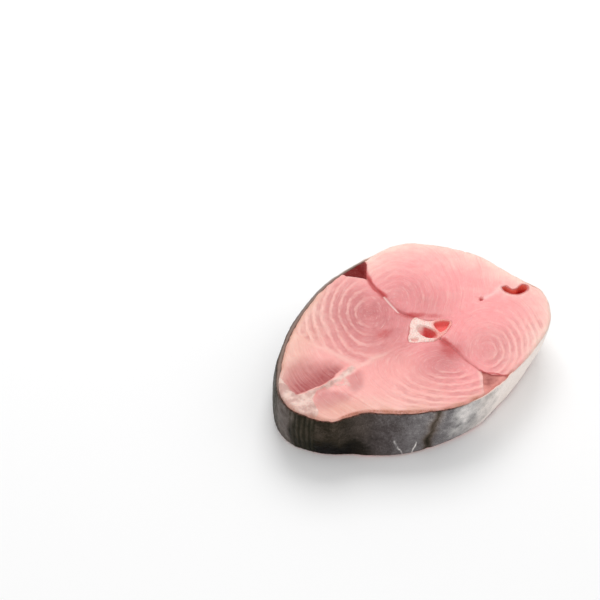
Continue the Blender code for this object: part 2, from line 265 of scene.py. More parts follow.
# Colours of the skin, from black to white
GREY_SHADES = (
    (0.00, (0.0010, 0.0006, 0.0005)),
    (0.22, (0.014, 0.012, 0.011)),
    (0.42, (0.072, 0.060, 0.062)),
    (0.60, (0.190, 0.178, 0.182)),
    (0.78, (0.47, 0.45, 0.44)),
    (1.00, (0.97, 0.91, 0.88)),
)
UMBER_SHADES = (
    (0.00, (0.0012, 0.0005, 0.0002)),
    (0.22, (0.019, 0.014, 0.007)),
    (0.42, (0.090, 0.068, 0.052)),
    (0.60, (0.215, 0.175, 0.150)),
    (0.78, (0.52, 0.44, 0.38)),
    (1.00, (1.0, 0.86, 0.77)),
)
OLIVE = (0.022, 0.024, 0.011)
LIP_DARK = (0.035, 0.018, 0.013)
LIP_BROWN = (0.16, 0.07, 0.05)
LIP_FAR = (0.27, 0.19, 0.16)
LIP_KEEL = (0.92, 0.70, 0.62)

# Light from all round, and each softbox's name, place, side and watts
SKY_LIGHT = 0.66
SOFTBOXES = (
    ("key", (0.35, 0.55, 0.75), 0.6, 4.8),
    ("fill", (-0.6, -0.7, 0.6), 0.8, 2.0),
)

# Floor, and the camera, which looks down from the right flank and a little from the back
FLOOR_SIDE = 6.0
FLOOR_LOW = 0.00002  # the floor lies this far below the steak
FLOOR_WHITE = (0.95, 0.95, 0.95)
CAMERA_TURN = math.radians(31.5)
CAMERA_TILT = math.radians(40)
CAMERA_LENS = 85
AIM = (0.0, -0.0053, 0.0210)  # a point of the upper cut, in the source's frame
AIM_FROM_CAMERA = (0.0444, -0.0140, 0.5668)  # that point's place right of, above and before the camera

# Mesh fineness
SECTORS = 560
TOP_RINGS = 92
FOOT_RINGS = 34
SIDE_RINGS = 6
SKIN_SECTORS = 1350
SKIN_ROWS = 40
BONE_SECTORS = 220
BONE_RINGS = 52


def curve(points, per_span):
    """A Catmull-Rom curve from the second point to the last but one."""
    a, b, c, d = points[:-3, None], points[1:-2, None], points[2:-1, None], points[3:, None]
    t = (np.arange(per_span) / per_span)[:, None]
    bend = (2 * a - 5 * b + 4 * c - d) * t**2
    twist = (3 * b - a - 3 * c + d) * t**3
    return (0.5 * (2 * b + (c - a) * t + bend + twist)).reshape(-1, points.shape[1])


def smooth_loop(points, per_span=16):
    """A closed curve through the points."""
    return curve(np.vstack([points[-1:], points, points[:2]]), per_span)


def smooth_path(points, per_span=8):
    """An open curve through the points, ends included."""
    before, after = 2 * points[0] - points[1], 2 * points[-1] - points[-2]
    return np.vstack([curve(np.vstack([before, points, after]), per_span), points[-1]])


def by_angle(loop, centre, count):
    """The loop at evenly spaced angles about the centre, counter-clockwise from +X."""
    away = loop[:, :2] - centre
    angle = np.arctan2(away[:, 1], away[:, 0])
    wanted = np.linspace(0, 2 * math.pi, count, endpoint=False)
    return np.stack([np.interp(wanted, angle, column, period=2 * math.pi) for column in loop.T], 1)


def outward(loop):
    """The unit normal that points out of a counter-clockwise loop, at each of its points."""
    along = np.roll(loop, -1, 0) - np.roll(loop, 1, 0)
    normal = np.stack([along[:, 1], -along[:, 0]], 1)
    return normal / np.linalg.norm(normal, axis=1)[:, None]


def grown(loop, by):
    """The loop, moved out by a distance."""
    return loop + outward(loop) * by


def closed(loop):
    """The loop with its first point again at its end."""
    return np.vstack([loop, loop[:1]])


def section(outline, height, inset):
    """The outline at a height above the board, swollen and leaning there, and moved in by inset."""
    rise = height / THICKNESS
    out = BULGE * (1 - (2 * rise - 1) ** 2) + outline[:, 2] * (1 - rise) - inset
    return outline[:, :2] + outward(outline[:, :2]) * out[:, None]


def skin_thickness(outline):
    """Thick along the back, and thin along the belly and the right flank, where flesh hides its edge."""
    back = (outline[:, 0].max() - outline[:, 0]) / np.ptp(outline[:, 0])
    kept = SKIN_THINNED + (1 - SKIN_THINNED) * step(outline[:, 1], -4 * MM, 8 * MM)
    return (SKIN_BELLY + (SKIN_BACK - SKIN_BELLY) * back) * kept


def steak_outline(count):
    """The steak's outline at evenly spaced angles about the backbone."""
    return by_angle(smooth_loop(OUTLINE), BONE_CENTRE, count)


def shift():
    """From the source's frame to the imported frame, where the steak's box is centred over the origin."""
    loop = steak_outline(120)
    heights = np.linspace(SKIN_SHORT, THICKNESS - SKIN_SHORT, 9)
    points = np.vstack([section(loop, height, 0) for height in heights])
    return -(points.min(0) + points.max(0)) / 2


def inside(points, corners, soft):
    """1 inside a smooth outline through the corners and 0 outside, over a band that is soft wide."""
    loop = closed(smooth_loop(corners, 6))
    x, y = points.T
    within = np.zeros(len(points), bool)
    for (ax, ay), (bx, by) in zip(loop, loop[1:]):
        if ay != by:
            within ^= ((ay > y) != (by > y)) & (x < (bx - ax) * (y - ay) / (by - ay) + ax)
    signed = np.where(within, 1, -1) * distance_to(points, loop)
    return step(signed, -soft / 2, soft / 2)


def distance_to(points, path):
    """How far each point lies from a chain of straight spans."""
    nearest = np.full(len(points), np.inf)
    for a, b in zip(path, path[1:]):
        span = b - a
        share = np.clip((points - a) @ span / (span @ span), 0, 1)
        nearest = np.minimum(nearest, np.hypot(*(points - a - share[:, None] * span).T))
    return nearest


def noise(points, size, seed):
    """Smooth noise from -1 to 1 with bumps about size across, at points in space."""
    cells = 32
    table = np.random.default_rng(seed).uniform(-1, 1, (cells, cells, cells))
    place = np.asarray(points) / size
    cell = np.floor(place).astype(int)
    share = place - cell
    share = share * share * (3 - 2 * share)
    total = np.zeros(len(place))
    for corner in np.ndindex(2, 2, 2):
        weight = np.prod(np.where(corner, share, 1 - share), axis=1)
        i, j, k = ((cell + corner) % cells).T
        total += weight * table[i, j, k]
    return total


def rough(points, size, seed, octaves=3):
    """Noise with finer noise on it."""
    return sum(noise(points, size / 2**k, seed + k) / 2**k for k in range(octaves))


def step(values, low, high):
    """From 0 at low to 1 at high, smoothly."""
    t = np.clip((values - low) / (high - low), 0, 1)
    return t * t * (3 - 2 * t)


def falloff(distance, width):
    """1 at no distance, falling off over width."""
    return np.exp(-((distance / width) ** 2))


def turned(points, middle, degrees):
    """How far each point lies along and across a turned axis through the middle."""
    c, s = math.cos(math.radians(degrees)), math.sin(math.radians(degrees))
    x, y = (points - middle).T
    return x * c + y * s, y * c - x * s


def patch(points, middle, radii, turn=0, soft=0.9):
    """1 inside an ellipse and 0 outside it, with an edge of softness soft."""
    along, across = turned(points, middle, turn)
    return step(-np.hypot(along / radii[0], across / radii[1]), -1 - soft, -1 + soft)


def streak(points, path, width):
    """1 on a smooth path, falling off over width."""
    return falloff(distance_to(points, smooth_path(path)), width)


def strongest(*values):
    """The largest of the values at each point."""
    return np.maximum.reduce(values)


def patches(points, table):
    """The strongest of a table's patches at each point."""
    return strongest(*(strength * patch(points, *place) for strength, *place in table))


def streaks(points, table):
    """The strongest of a table's streaks at each point."""
    return strongest(*(strength * streak(points, path, width) for strength, width, path in table))


def past_line(points, line, axis):
    """How far each point lies beyond a line along an axis, 0 for X and 1 for Y."""
    other = 1 - axis
    nodes = np.array(sorted(line, key=lambda node: node[other]))
    return points[:, axis] - np.interp(points[:, other], nodes[:, other], nodes[:, axis])


def polar(points):
    """Distance from the backbone's middle and angle about it."""
    x, y = (points - BONE_CENTRE).T
    return np.hypot(x, y), np.arctan2(y, x)


def seam_angle(seam, distance):
    """The angle about the backbone at which a seam lies, at each distance from it."""
    far, angle = polar(smooth_path(seam))
    return np.interp(distance, far, np.unwrap(angle))


def block_of(points):
    """The number of the muscle block that each point is in."""
    distance, angle = polar(points)
    start = seam_angle(BELLY_SEAM, distance)
    sweep = (angle - start) % (2 * math.pi)
    block = np.zeros(len(points), int)
    for seam in (LEFT_SEAM, BACK_SEAM, RIGHT_SEAM):
        block += sweep > (seam_angle(seam, distance) - start) % (2 * math.pi)
    return block


def rings_at(points, height):
    """The muscle rings: their phase in turns, how well they show, distance across and angle along."""
    space = at_height(points, height)
    wobble = noise(space, 12 * MM, 11) * 1.0 * MM + noise(space, 5 * MM, 12) * 0.45 * MM
    block = block_of(points)
    phase, show, across, along = (np.zeros(len(points)) for _ in range(4))
    for i, (middle, length, turn, first, spacing, sides, strength) in enumerate(BLOCKS):
        here = block == i
        x, y = (points[here] - middle).T
        u, v = turned(points[here], middle, turn)
        reach = np.hypot(u / math.sqrt(length), v * math.sqrt(length)) + wobble[here]
        off = (np.degrees(np.arctan2(y, x)) - np.mean(sides) + 180) % 360 - 180
        facing = step(np.ptp(sides) / 2 - np.abs(off) + 10 * noise(space[here], 5 * MM, 13), -22, 22)
        phase[here] = (reach - first) / spacing + 8
        show[here] = strength * (0.06 + 0.94 * facing) * step(reach, 0.5 * first, 1.2 * first)
        across[here] = reach + 0.1 * i
        along[here] = np.arctan2(v * length, u)
    x, y = points.T / MM
    show *= 1 - 0.85 * step(-past_line(points, SHOULDER_SEAM, 0) / MM, -1, 2) * (block == 1)
    show *= 1 - 0.80 * step(-x, 20, 30) * (block == 2)
    show *= 1 - 0.75 * step(x, 16, 28) * (block == 0)
    show *= 1 - 0.85 * step(x + y, 20, 32) * (block == 3)
    return phase, show, across, along


def seam_distance(points):
    """Distance to the nearest seam."""
    return np.min([distance_to(points, smooth_path(seam)) for seam, _, _ in SEAMS], axis=0)


def seam_marks(points):
    """The depth of the groove at each point, and how dark the seam is there, as painted shade."""
    depth, dark = np.zeros(len(points)), np.zeros(len(points))
    for seam, deep, shade in SEAMS:
        away = distance_to(points, smooth_path(seam))
        depth = np.maximum(depth, deep * falloff(away, SEAM_WIDTH))
        dark = np.maximum(dark, shade * falloff(away, 0.45 * MM))
    return depth, dark


def warped(points, height):
    """The points moved about a little, so that patches have ragged edges."""
    space = at_height(points, height)
    moves = []
    for seed in (21, 23):
        moves.append(noise(space, 7 * MM, seed) * 1.0 * MM + noise(space, 2.2 * MM, seed + 1) * 0.45 * MM)
    return points + np.column_stack(moves)


def above_ridge(points):
    """1 on the left side of the brown patch's right edge and 0 on the other."""
    return step(past_line(points, BROWN_EDGE, 1), -0.4 * MM, 0.7 * MM)


def pale_rim(points, edge):
    """How creamy the flesh is towards the skin: most at the back, at the belly and on the left flank."""
    x, y = points.T / MM
    reach = 0.80 * step(x, 15, 50) + 0.55 * step(-x, 5, 35) + 0.30
    reach += 0.9 * step(y, 18, 36) * step(x, -2, 12)
    reach += 0.5 * step(-x, 16, 28) * step(y, 2, 14)
    rim = np.clip(reach, 0, 1) * np.exp(-edge / (7.5 * MM))
    return rim * (1 - 0.5 * patch(points, (-0.042, -0.030), (0.018, 0.007), -35))


def tan_edge(points, edge):
    """How tan the flesh is right beside the skin: at the back of the left flank and on the right one."""
    x, y = points.T / MM
    left = step(y, 0, 6) * step(-x, 6, 24)
    right = step(-y, 18, 28) * (1 - step(x, 10, 25))
    patchy = 1 + noise(at_height(points, 0), 4 * MM, 25)
    return np.maximum(0.80 * left * falloff(edge, 2.2 * MM), 0.50 * right * falloff(edge, 3.0 * MM) * patchy)


def tones(points, height, edge):
    """How strong each tone of the flesh is, by its name, from 0 to 1."""
    w = warped(points, height)
    return {
        "salmon": step(-w[:, 0], -4 * MM, 14 * MM),
        "mauve": strongest(
            patches(w, MAUVE_PATCHES),
            0.80 * inside(w, SHOULDER_FACE, 4.5 * MM),
            0.60 * inside(w, SHOULDER_SPOT, 3 * MM),
        ),
        "brown": strongest(
            inside(w, BROWN_PATCH, 8 * MM) * above_ridge(w) * (0.66 + 0.34 * step(-w[:, 1], -0.001, 0.008)),
            0.16 * inside(w, SHOULDER_FACE, 5 * MM),
            0.10 * inside(w, SHOULDER_SPOT, 4 * MM),
        ),
        "blood": strongest(
            patches(w, BLOOD_PATCHES),
            streaks(w, BLOOD_STREAKS),
            patch(w, PIT, (0.0012, 0.0008), 30, 0.5),
            0.80 * inside(points, grown(SLIT_OUTLINE, 0.0009), 1.3 * MM),
        ),
        "white": strongest(0.95 * inside(w, WHITE_END, 1.2 * MM), streaks(w, WHITE_STREAKS)),
        "bright": strongest(
            0.90 * streak(points, PIN_BONE, 0.34 * MM),
            0.50 * streak(w, BELLY_STREAK, 1.1 * MM),
        ),
        "cream": strongest(
            pale_rim(w, edge),
            0.55 * streak(points, WEDGE_SIDE, 1.0 * MM),
            0.60 * inside(points, grown(SLIT_OUTLINE, 0.0018), 2.5 * MM),
            0.35 * streak(w, SHOULDER_SEAM, 1.8 * MM),
            0.40 * streak(w, BACK_SEAM, 1.2 * MM) * step(-w[:, 0], 8 * MM, 20 * MM),
        ),
        "tan": strongest(patches(w, TAN_PATCHES), tan_edge(points, edge)),
    }


def edge_distance(points):
    """How far each point is from the flesh's outer edge at the upper cut."""
    loop = steak_outline(240)
    edge = section(loop, THICKNESS, skin_thickness(loop))
    return distance_to(points, closed(edge))


def relief(points):
    """How far the upper cut stands above or below its smooth domes."""
    space = at_height(points, THICKNESS)
    w = warped(points, THICKNESS)
    phase, show, _, _ = rings_at(points, THICKNESS)
    near_seam = step(seam_distance(points), 0.6 * MM, 2.0 * MM)
    ridges = np.sin(2 * math.pi * (phase + 0.25)) + 0.35 * np.sin(4 * math.pi * (phase + 0.1))
    rise = RIDGE * show * near_seam * ridges
    rise += 0.10 * MM * rough(space, 5 * MM, 31, 4)
    past_left = past_line(points, LEFT_SEAM, 0)
    beside = step(points[:, 1], 4 * MM, 12 * MM) * step(past_left, -0.5 * MM, 0.7 * MM)
    rise += 0.45 * MM * beside * np.exp(-np.maximum(past_left, 0) / (9 * MM))
    rise -= 0.50 * MM * inside(w, BROWN_PATCH, 6.0 * MM) * above_ridge(w)
    lumps = 0.6 + 0.6 * noise(space, 1.9 * MM, 41)
    rise += 0.80 * MM * inside(w, WHITE_END, 1.5 * MM) * (lumps + 0.5 * noise(space, 3.5 * MM, 42))
    rise += 0.50 * MM * streak(w, WHITE_RIDGE, 1.4 * MM) * lumps
    rise += 0.25 * MM * streak(w, WHITE_HOOK, 0.6 * MM)
    rise += 0.12 * MM * streak(points, PIN_BONE, 0.4 * MM)
    rise -= 0.90 * MM * patch(points, PIT, (0.0011, 0.0007), 30, 0.5)
    lip = inside(points, grown(SLIT_OUTLINE, 0.0016), 2.4 * MM)
    rise += 0.22 * MM * lip * (1 + noise(space, 1.5 * MM, 43))
    return rise


def cut_face(points, to_edge):
    """The upper cut's height above the board at each point."""
    swell = DOME * (1 - falloff(seam_distance(points), DOME_REACH))
    groove, _ = seam_marks(points)
    ragged = 1 + 0.45 * rough(at_height(points, THICKNESS), 6 * MM, 35)
    edge = EDGE_DROP * ragged * np.clip(1 - to_edge / EDGE_WIDTH, 0, 1) ** 2
    fade = 0.3 + 0.7 * step(to_edge, 0, 1.4 * MM)
    return THICKNESS - DOME + swell - groove - edge + fade * relief(points)


def tube_faces(count, rings, round_again=True):
    """The quads of a tube of rings, each with count points; round_again joins the last ring to the first."""
    last = rings if round_again else rings - 1
    i, j = np.meshgrid(np.arange(last), np.arange(count), indexing="ij")
    here, there = i * count, (i + 1) % rings * count
    after = (j + 1) % count
    return np.stack([here + j, here + after, there + after, there + j], -1).reshape(-1, 4).tolist()


def capped_tube_faces(count, rings):
    """The quads of an open tube, and a face over each end."""
    last = (rings - 1) * count
    return tube_faces(count, rings, False) + [list(range(count)), list(range(last, last + count))]


def new_object(name, data):
    """An object with that data, in the scene."""
    thing = bpy.data.objects.new(name, data)
    bpy.context.scene.collection.objects.link(thing)
    return thing


def make_object(name, points, faces):
    """An object with these points and faces, its faces turned to point out."""
    mesh = bpy.data.meshes.new(name)
    mesh.from_pydata(points.tolist(), [], faces)
    shape = bmesh.new()
    shape.from_mesh(mesh)
    bmesh.ops.recalc_face_normals(shape, faces=shape.faces)
    shape.to_mesh(mesh)
    shape.free()
    return new_object(name, mesh)


def at_height(loop, height):
    """The loop's points in space, at one height or at one height each."""
    return np.column_stack([loop, np.broadcast_to(height, len(loop))])


def flesh_body():
    """All that the skin wraps, red muscle and slit included, with the backbone's hole through it."""
    outline = steak_outline(SECTORS)
    bone = by_angle(smooth_loop(BONE_OUTLINE), BONE_CENTRE, SECTORS)
    hole = grown(bone, -GROWN_IN)
    inset = skin_thickness(outline) - GROWN_IN
    ragged = 0.20 * MM * rough(at_height(outline[:, :2], 0), 3 * MM, 36)
    top_edge = section(outline, THICKNESS, inset + ragged)
    foot_edge = section(outline, 0, inset)
    rings = []
    for share in np.linspace(0, 1, TOP_RINGS):
        points = hole + (top_edge - hole) * share
        rings.append(at_height(points, cut_face(points, np.linalg.norm(top_edge - points, axis=1))))
    for height in np.linspace(THICKNESS - EDGE_DROP, EDGE_DROP, SIDE_RINGS)[1:]:
        rings.append(at_height(section(outline, height, inset), height))
    for share in np.linspace(1, 0, FOOT_RINGS):
        points = hole + (foot_edge - hole) * share
        to_edge = np.linalg.norm(foot_edge - points, axis=1)
        rings.append(at_height(points, EDGE_DROP * np.clip(1 - to_edge / EDGE_WIDTH, 0, 1) ** 2))
    return make_object("flesh_pink", np.vstack(rings), tube_faces(SECTORS, len(rings)))


def prism(name, loop, lean, low=-THICKNESS):
    """A cutter: the loop carried through the slice, shifted by lean at its foot."""
    heights = [low, *np.linspace(0.5 * MM, THICKNESS, 24), 2 * THICKNESS]
    rings = []
    for height in heights:
        rings.append(at_height(loop + np.array(lean) * (1 - height / THICKNESS), height))
    return make_object(name, np.vstack(rings), capped_tube_faces(len(loop), len(rings)))


def slit_loop():
    """The slit's outline with ragged lips."""
    loop = smooth_loop(SLIT_OUTLINE, 8)
    ragged = noise(at_height(loop, 0), 1.3 * MM, 51) * 0.18 * MM
    return grown(loop, ragged[:, None])


def cut(target, cutters, operation):
    """Changes the target's mesh by exact Booleans and removes the cutters."""
    for cutter in cutters:
        modifier = target.modifiers.new(cutter.name, "BOOLEAN")
        modifier.operation = operation
        modifier.solver = "EXACT"
        modifier.object = cutter
    made = bpy.data.meshes.new_from_object(target.evaluated_get(bpy.context.evaluated_depsgraph_get()))
    target.modifiers.clear()
    target.data = made
    for cutter in cutters:
        bpy.data.objects.remove(cutter)


def coordinates(thing):
    """The mesh's points, as rows."""
    mesh = thing.data
    flat = np.empty(3 * len(mesh.vertices))
    mesh.vertices.foreach_get("co", flat)
    return flat.reshape(-1, 3)


def set_fields(thing, fields):
    """Stores numbers for each point, by name, for the material to read."""
    for name, values in fields.items():
        field = thing.data.attributes.new(name, "FLOAT", "POINT")
        field.data.foreach_set("value", np.asarray(values, np.float32))


def finish_piece(thing, material, node):
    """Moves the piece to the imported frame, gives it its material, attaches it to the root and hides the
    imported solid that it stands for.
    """
    points = coordinates(thing)
    points[:, :2] += shift()
    thing.data.vertices.foreach_set("co", points.ravel())
    thing.data.update()
    thing.data.shade_smooth()
    thing.data.materials.clear()
    thing.data.materials.append(material)
    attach(thing, "root")
    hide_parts(node)


def paint_flesh(thing):
    """Works out the flesh's tones, rings and grain at each point, from the upper cut down to the lower."""
    space = coordinates(thing)
    height = space[:, 2]
    fall = (1 - height / THICKNESS)[:, None]
    points = space[:, :2] - PATTERN_LEAN * fall
    phase, show, across, along = rings_at(points, height)
    near_seam = step(seam_distance(points), 0.4 * MM, 1.8 * MM)
    edge = edge_distance(points)
    x, y = points.T / MM
    brown_side = step(-y, 5, 15) * (1 - step(x, 18, 30)) * (0.60 + 0.60 * noise(space, 3 * MM, 24))
    in_slit = inside(space[:, :2] - SLIT_LEAN * fall, grown(SLIT_OUTLINE, 0.0006), 0.4 * MM)
    depth = np.minimum(THICKNESS - height, height)
    shown = tones(points, height, edge)
    set_fields(thing, shown)
    set_fields(thing, {
        "grained": near_seam * (1 - shown["white"]),
        "ring": phase + 3 * fall[:, 0],
        "ring_show": show * near_seam * step(edge, 0.5 * MM, 3 * MM),
        "across": across / MM,
        "along_x": np.cos(along),
        "along_y": np.sin(along),
        "seam": seam_marks(points)[1],
        "rim": falloff(edge, 0.55 * MM) * brown_side,
        "slit": in_slit * step(depth, 0.2 * MM, 1.0 * MM),
        # Painted shade: the slit's walls darken further in from both cut faces
        "deep": in_slit * step(depth, 1.2 * MM, 4.5 * MM),
    })


def make_flesh(body, material):
    """The pink flesh, without the wedges of red muscle and the slit."""
    cutters = [
        prism("room_left", grown(RED_MUSCLE_LEFT, MUSCLE_GAP), LEFT_LEAN),
        prism("room_right", grown(RED_MUSCLE_RIGHT, MUSCLE_GAP), RIGHT_LEAN),
        prism("slit", slit_loop(), SLIT_LEAN),
    ]
    cut(body, cutters, "DIFFERENCE")
    paint_flesh(body)
    finish_piece(body, material, "flesh")


def make_red_muscle(body, node, corners, lean, dark, material):
    """A wedge of red muscle, whose cut face goes on from the flesh's, pale or dark from 0 to 1."""
    thing = new_object(node + "_meat", body.data.copy())
    cut(thing, [prism(node + "_wedge", corners, lean, CLEAR)], "INTERSECT")
    space = coordinates(thing)
    flat = space[:, :2]
    tip = min(corners, key=lambda corner: abs(corner[1]))
    from_tip = np.linalg.norm(flat - tip, axis=1)
    at_tip = step(from_tip, 9 * MM, 3 * MM + 14 * MM * dark)
    shade = dark * (0.35 + 0.65 * dark) + 0.25 * rough(space, 3 * MM, 61) + 0.5 * (1 - dark) * at_tip
    border = falloff(distance_to(flat, corners[2:5]), 0.7 * MM)
    set_fields(thing, {"dark": np.clip(shade, 0, 1), "border": border})
    finish_piece(thing, material, node)


def bone_face(points, seed):
    """How far a cut end of the vertebra is hollowed below its rim."""
    along, across = turned(points, BONE_CENTRE, CUP_TURN)
    reach = np.hypot(along / CUP_RADII[0], across / CUP_RADII[1])
    cup = CUP_DEPTH * np.clip(1 - reach, 0, 1) ** 0.7
    canals = 2.0 * MM * inside(points, HAEMAL_CANAL, 1.0 * MM)
    canals += 0.8 * MM * inside(points, NEURAL_CANAL, 1.0 * MM)
    space = at_height(points, seed * 0.01)
    lumps = 0.22 * MM * rough(space, 1.6 * MM, seed) + 0.25 * MM * noise(space, 4.5 * MM, seed + 5)
    rim = 0.25 * MM * falloff(reach - 1.12, 0.12)
    return np.maximum(cup, canals) - rim - lumps


def bone_fields(space, loop, top):
    """Where the vertebra is deep, bloody in its cup and canals, and pink at its fringe."""
    flat = space[:, :2]
    depth = np.minimum(top - space[:, 2], space[:, 2] - CLEAR)
    haemal = inside(flat, HAEMAL_CANAL, 0.9 * MM)
    from_centre = flat - BONE_CENTRE
    to_red_side = from_centre @ TO_RED_SIDE
    to_pale_side = from_centre @ TO_PALE_SIDE
    red = step(to_red_side, -2.0 * MM, -0.4 * MM) * (1 - 0.75 * step(to_pale_side, 0.5 * MM, 2.6 * MM))
    fringe = step(-distance_to(flat, closed(loop)), -2.2 * MM, 0)
    fringe *= 0.25 + 0.75 * step(flat[:, 0], 5 * MM, 13 * MM)
    return {
        "deep": step(depth, 0.4 * MM, 2.5 * MM),
        "canal": np.maximum(haemal, 0.30 * inside(flat, NEURAL_CANAL, 0.9 * MM)),
        "cup": step(depth, 0.25 * MM, 0.9 * MM) * (1 - haemal) * (0.15 + 0.85 * red),
        "fringe": np.maximum(fringe, step(to_red_side, 1.0 * MM, 4.0 * MM)),
    }


def make_backbone(material):
    """The vertebra: white bone, hollow at both ends, with pits for its two canals."""
    loop = by_angle(smooth_loop(BONE_OUTLINE), BONE_CENTRE, BONE_SECTORS)
    loop = grown(loop, 0.25 * MM * noise(at_height(loop, 0), 1.8 * MM, 71)[:, None])
    top = THICKNESS - DOME + BONE_PROUD
    shares = np.linspace(0.02, 1, BONE_RINGS)
    rings = []
    for share in shares:
        points = BONE_CENTRE + (loop - BONE_CENTRE) * share
        rings.append(at_height(points, CLEAR + np.maximum(bone_face(points, 3), 0)))
    for height in np.linspace(CLEAR + 0.6 * MM, top - 0.6 * MM, 8):
        rings.append(at_height(loop, height))
    for share in shares[::-1]:
        points = BONE_CENTRE + (loop - BONE_CENTRE) * share
        edge = 0.5 * MM * step(share, 0.93, 1.0) ** 2
        rings.append(at_height(points, top - bone_face(points, 2) - edge))
    thing = make_object("backbone_bone", np.vstack(rings), capped_tube_faces(BONE_SECTORS, len(rings)))
    set_fields(thing, bone_fields(coordinates(thing), loop, top))
    finish_piece(thing, material, "backbone")


def around_skin(outline):
    """Distance along the outline from the middle of the back: positive on the left flank."""
    spans = np.linalg.norm(np.roll(outline[:, :2], -1, 0) - outline[:, :2], axis=1)
    run = np.concatenate([[0], np.cumsum(spans)[:-1]])
    back = run[np.argmin(np.linalg.norm(outline[:, :2] - BACK_MIDDLE, axis=1))]
    total = spans.sum()
    return (back - run + total / 2) % total - total / 2


def ribs_at(around, space):
    """The ribs of the back: how strong they are, and their wave."""
    strength = step(-np.abs(np.abs(around) - 9.5 * MM), -6.5 * MM, -4 * MM)
    wave = np.sin(2 * math.pi * (around + 0.5 * MM * noise(space, 5 * MM, 81)) / (2.0 * MM))
    return strength * (0.65 + 0.35 * noise(space, 4 * MM, 82)), wave


def skin_relief(around, space):
    """How far the skin stands out: ribs at the back, soft dents, and a crease on the right flank."""
    strength, wave = ribs_at(around, space)
    crease = distance_to(np.column_stack([around, space[:, 2]]), CREASE)
    rise = 0.10 * MM * strength * wave
    rise += 0.26 * MM * noise(space, 9 * MM, 83) + 0.12 * MM * rough(space, 3 * MM, 84)
    rise -= 0.30 * MM * falloff(crease, 0.9 * MM)
    return np.maximum(rise, -0.28 * MM)


def skin_tones(around, space):
    """How bright and how brown the skin is at each point, from 0 to 1."""
    height = space[:, 2]
    place = np.column_stack([around, height])
    away = np.abs(around)
    tone = np.interp(away + 3 * MM * noise(space, 9 * MM, 85), *np.array(SKIN_TONE).T)
    brown = np.interp(away + 3 * MM * noise(space, 7 * MM, 86), *np.array(SKIN_BROWN).T)
    strength, wave = ribs_at(around, space)
    # The ribs' own dark stripes, lighter on their crests as painted highlight and darker in their grooves as
    # painted shade
    tone += 0.12 * strength * wave
    tone += (0.05 - 0.025 * step(away, 76 * MM, 88 * MM)) * rough(space, 2.4 * MM, 86, 4)
    tone += 0.03 * noise(space, 8 * MM, 87)
    # Painted shade: the skin darkens towards the board along the back, and in a patch near the foot of the
    # right flank
    low = step(-height + 3 * MM * noise(space, 5 * MM, 89), -9.5 * MM, -4.5 * MM)
    low *= (0.3 + 0.7 * step(away, 9 * MM, 17 * MM)) * step(away, 4 * MM, 9 * MM)
    tone -= 0.19 * low * (1 - step(away, 27 * MM, 45 * MM))
    tone -= 0.14 * patch(place, (-0.021, 0.0035), (0.009, 0.005))
    silver = step(away, 62 * MM, 68 * MM) * (1 - step(away, 90 * MM, 104 * MM))
    tone += 0.07 * rough(space, 3.2 * MM, 90, 4) * silver
    # Painted highlights: two soft patches of sheen on the right flank, brightening the tone
    tone += 0.05 * patch(place, (-0.057, 0.015), (0.005, 0.006))
    tone += 0.09 * patch(place, (-0.073, 0.012), (0.003, 0.009), 20) * (1 + noise(space, 1.5 * MM, 80))
    moved = place + 0.35 * MM * np.column_stack([noise(space, 1.5 * MM, seed) for seed in (78, 79)])
    # Painted highlights: two thin glints on the wet skin, brightening its tone
    bright = 0.45 * (0.7 + 0.6 * noise(space, 1.0 * MM, 77))
    for glint in PAINTED_GLINTS:
        tone += bright * streak(moved, glint, 0.30 * MM)
    # The crease: its own brown tint, and painted shade that darkens it, more so towards the board
    crease = distance_to(moved, CREASE)
    crease_tint_and_shade = falloff(crease, 2.0 * MM)
    foot = step(-height, -10 * MM, -5 * MM)
    wide = (0.8 + 0.3 * noise(space, 3 * MM, 76) + 0.5 * foot) * MM
    tone -= 0.09 * crease_tint_and_shade + (0.15 + 0.09 * foot) * falloff(crease, wide)
    return np.clip(tone, 0, 1), np.clip(brown + crease_tint_and_shade, 0, 1)


def make_skin(material):
    """The skin: a band round the steak with two cut edges."""
    outline = steak_outline(SKIN_SECTORS)
    flat = outline[:, :2]
    thick = skin_thickness(outline)
    around = around_skin(outline)
    space = np.column_stack([around, 0 * around, 0 * around])
    low = SKIN_SHORT + 0.15 * MM * noise(space, 4 * MM, 91)
    high = THICKNESS - SKIN_SHORT + 0.28 * MM * rough(space, 5 * MM, 92)
    rows = [(share, 0) for share in np.linspace(0, 1, SKIN_ROWS)]
    rows += [(1, 0.45), (1, 0.8)]
    rows += [(share, 1) for share in np.linspace(1, 0, 6)]
    rows += [(0, 0.8), (0, 0.45)]
    rings = []
    for share, depth in rows:
        height = (low + SKIN_LIP) + (high - low - 2 * SKIN_LIP) * share
        if 0 < depth < 1:
            height = high if share else low
        stand_out = (1 - depth) * skin_relief(around, at_height(flat, height))
        rings.append(at_height(section(outline, height, thick * depth - stand_out), height))
    thing = make_object("skin_silver", np.vstack(rings), tube_faces(SKIN_SECTORS, len(rings)))
    run = np.tile(around, len(rings))
    space = coordinates(thing)
    tone, brown = skin_tones(run, space)
    set_fields(thing, {
        "tone": tone,
        "brown": brown,
        "olive": ribs_at(run, space)[0],
        "cut_edge": np.repeat([step(depth, 0.2, 0.45) for _, depth in rows], SKIN_SECTORS),
        "far": step(run, 2 * MM, 12 * MM),
        "keel": step(np.where(run > 0, run - 24 * MM, -run), 68 * MM, 84 * MM),
    })
    finish_piece(thing, material, "skin")


